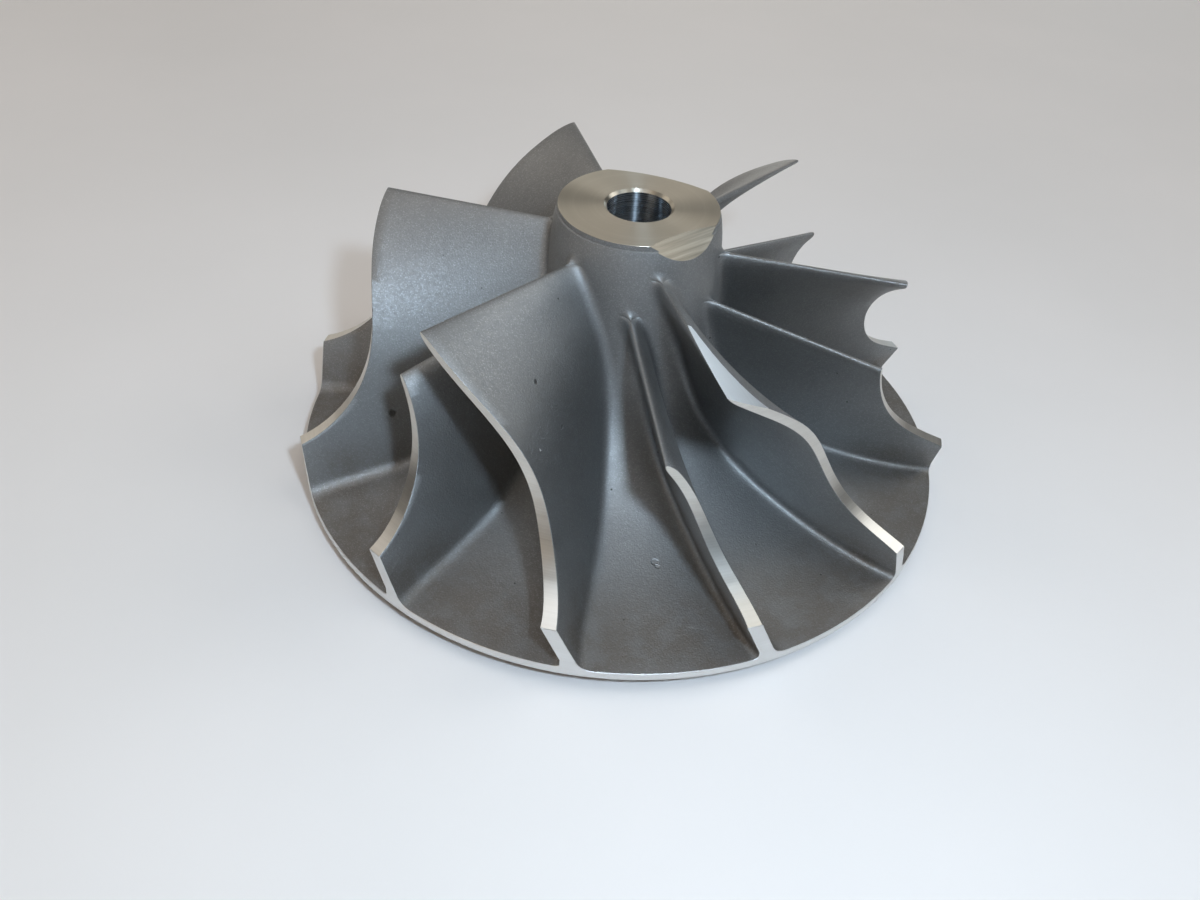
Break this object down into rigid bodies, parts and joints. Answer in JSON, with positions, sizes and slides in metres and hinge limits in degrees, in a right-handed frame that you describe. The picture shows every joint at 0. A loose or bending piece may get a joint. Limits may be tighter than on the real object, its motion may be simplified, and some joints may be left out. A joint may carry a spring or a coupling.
{
  "type": "turbocharger compressor wheel",
  "caption": "Cast aluminium compressor wheel for a turbocharger: long and short swept blades on a flared hub, thin back disc and a through bore for the shaft.",
  "frame": {"origin": "on the shaft axis, in the plane of the flat back boss face that the wheel stands on", "axes": "+Z along the shaft towards the nose, where air comes in; +X to the right and +Y away from the viewer in the picture"},
  "size_m": [0.1, 0.1, 0.0428],
  "materials": {
    "cast_aluminium": "fine matt casting, turned bright on the blade edges, rim, bore and nose face"
  },
  "bodies": {
    "root": {"compressor_wheel": "cast_aluminium"}
  },
  "joints": []
}
